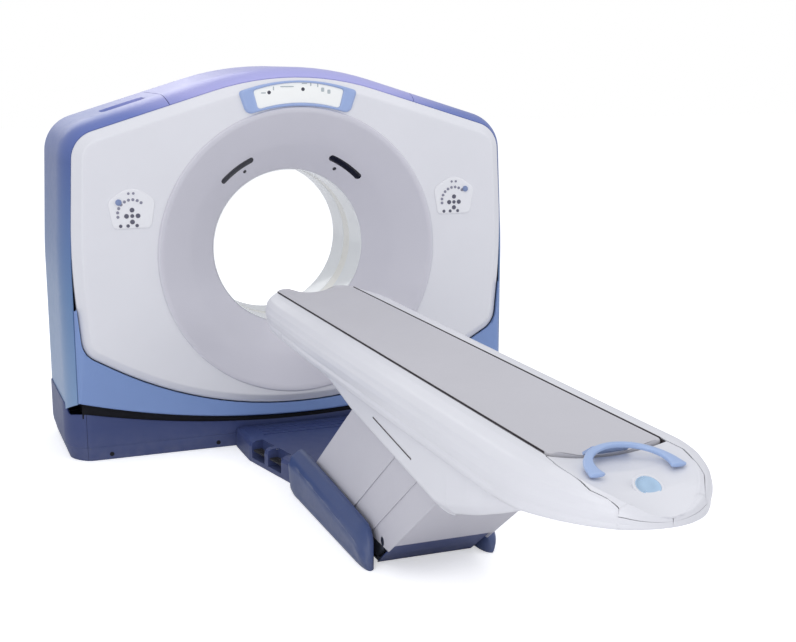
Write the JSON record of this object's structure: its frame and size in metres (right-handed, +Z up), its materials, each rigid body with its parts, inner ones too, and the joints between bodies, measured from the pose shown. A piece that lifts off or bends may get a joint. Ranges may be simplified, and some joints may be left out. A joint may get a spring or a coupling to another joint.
{
  "type": "computed tomography scanner",
  "caption": "Tilting ring gantry on a floor base with a rotating scan unit inside, and a patient table whose long cradle lifts on leaning legs and slides into the bore.",
  "frame": {"origin": "on the floor under the isocentre, at the middle of the gantry's floor anchors", "axes": "+Y from the patient table into the bore, along the scan axis; +X to the right seen from the table, along the tilt axis; +Z up"},
  "size_m": [2.3404, 4.259, 1.8902],
  "materials": {
    "steel_dark": "satin",
    "navy": "satin moulded",
    "light_blue": "satin moulded",
    "blue": "satin moulded",
    "white": "satin moulded",
    "warm_white": "satin moulded",
    "grey": "fine grained",
    "pedestal_grey": "powder coat",
    "scan_window": "translucent",
    "dark_glass": "polished",
    "pale_blue": "satin moulded",
    "keypad": "membrane",
    "machined_steel": "machined",
    "cast_aluminium": "as cast",
    "motor_grey": "satin",
    "bronze": "machined",
    "rubber": "ribbed",
    "button_grey": "satin"
  },
  "bodies": {
    "base": {"base_frame": "steel_dark", "base_front_cover": "navy", "base_rear_cover": "navy", "base_side_cover_left": "navy", "base_side_cover_right": "navy", "trunnion_bearings": "bronze", "tilt_gearmotor": "motor_grey", "dock_cover": "navy", "table_base_frame": "steel_dark", "foot_cover_left": "light_blue", "foot_cover_right": "light_blue", "kick_plate": "navy", "lift_gearmotor": "motor_grey"},
    "gantry": {"tilt_frame": "steel_dark", "front_cover": "white", "bore_cone_front": "warm_white", "bore_tube": "white", "scan_window": "scan_window", "bore_cone_rear": "warm_white", "rear_cover": "white", "side_shell_left": "blue", "side_shell_right": "blue", "top_cover": "blue", "lower_front_panel": "light_blue", "lower_rear_panel": "light_blue", "display_frame": "pale_blue", "display_window": "dark_glass", "laser_windows": "dark_glass", "control_panel_left": "keypad", "control_panel_right": "keypad", "stator_bearing": "machined_steel", "drive_stator": "motor_grey", "slip_ring_brushes": "motor_grey"},
    "scan_button_l": {"scan_button_left": "button_grey"},
    "scan_button_r": {"scan_button_right": "button_grey"},
    "rotor": {"rotor_drum": "cast_aluminium", "xray_tube": "machined_steel", "collimator": "machined_steel", "detector_array": "motor_grey", "hv_generator": "motor_grey", "heat_exchanger": "cast_aluminium", "slip_ring": "bronze"},
    "front_legs": {"leg_front": "machined_steel", "leg_cover_front": "pedestal_grey"},
    "side_panels_1": {"leg_cover_1": "pedestal_grey"},
    "side_panels_2": {"leg_cover_2": "pedestal_grey"},
    "rear_legs": {"leg_rear": "machined_steel", "leg_cover_rear": "pedestal_grey"},
    "table": {"table_frame": "steel_dark", "table_side_cover_left": "white", "table_side_cover_right": "white", "table_nose_cover": "white", "table_under_cover": "white", "table_end_cover": "white"},
    "cradle": {"cradle": "grey", "cradle_handle": "pale_blue"},
    "pedal_lu": {"pedal_left_up": "rubber"},
    "pedal_ld": {"pedal_left_down": "rubber"},
    "pedal_ru": {"pedal_right_up": "rubber"},
    "pedal_rd": {"pedal_right_down": "rubber"}
  },
  "joints": [
    {"name": "gantry_tilt", "type": "hinge", "parent": "base", "child": "gantry", "pos_m": [0, 0, 0.99], "axis": [-1, 0, 0], "range_deg": [-30, 30]},
    {"name": "rotor_spin", "type": "hinge", "parent": "gantry", "child": "rotor", "pos_m": [0, 0, 0.99], "axis": [0, 1, 0], "continuous": true},
    {"name": "scan_button_left_push", "type": "slide", "parent": "gantry", "child": "scan_button_l", "axis": [0, 1, 0], "range_m": [0, 0.003], "stiffness_N_per_m": 900},
    {"name": "scan_button_right_push", "type": "slide", "parent": "gantry", "child": "scan_button_r", "axis": [0, 1, 0], "range_m": [0, 0.003], "stiffness_N_per_m": 900},
    {"name": "table_lift", "type": "hinge", "parent": "base", "child": "front_legs", "pos_m": [0, -1.414, 0.112], "axis": [-1, 0, 0], "range_deg": [-25, 14]},
    {"name": "table_level", "type": "hinge", "parent": "front_legs", "child": "table", "pos_m": [0, -1.98902, 0.54531], "axis": [-1, 0, 0], "range_deg": [-14, 25]},
    {"name": "rear_leg_swing", "type": "hinge", "parent": "base", "child": "rear_legs", "pos_m": [0, -2.13, 0.112], "axis": [-1, 0, 0], "range_deg": [-25, 14]},
    {"name": "side_panel_swing_1", "type": "hinge", "parent": "base", "child": "side_panels_1", "pos_m": [0, -1.594, 0.112], "axis": [-1, 0, 0], "range_deg": [-25, 14]},
    {"name": "side_panel_swing_2", "type": "hinge", "parent": "base", "child": "side_panels_2", "pos_m": [0, -1.96, 0.112], "axis": [-1, 0, 0], "range_deg": [-25, 14]},
    {"name": "cradle_slide", "type": "slide", "parent": "table", "child": "cradle", "axis": [0, 1, 0], "range_m": [0, 1.7]},
    {"name": "pedal_left_up_press", "type": "hinge", "parent": "base", "child": "pedal_lu", "pos_m": [-0.26982, -0.70303, 0.058], "axis": [0.213, -0.9771, 0], "range_deg": [0, 8], "stiffness_Nm_per_rad": 6},
    {"name": "pedal_left_down_press", "type": "hinge", "parent": "base", "child": "pedal_ld", "pos_m": [-0.23469, -0.86424, 0.058], "axis": [0.213, -0.9771, 0], "range_deg": [0, 8], "stiffness_Nm_per_rad": 6},
    {"name": "pedal_right_up_press", "type": "hinge", "parent": "base", "child": "pedal_ru", "pos_m": [0.26982, -0.70303, 0.058], "axis": [0.213, 0.9771, 0], "range_deg": [0, 8], "stiffness_Nm_per_rad": 6},
    {"name": "pedal_right_down_press", "type": "hinge", "parent": "base", "child": "pedal_rd", "pos_m": [0.23469, -0.86424, 0.058], "axis": [0.213, 0.9771, 0], "range_deg": [0, 8], "stiffness_Nm_per_rad": 6}
  ],
  "couplings": [
    {"joint": "table_level", "follows": "table_lift", "ratio": -1},
    {"joint": "rear_leg_swing", "follows": "table_lift", "ratio": 1},
    {"joint": "side_panel_swing_1", "follows": "table_lift", "ratio": 1},
    {"joint": "side_panel_swing_2", "follows": "table_lift", "ratio": 1}
  ]
}
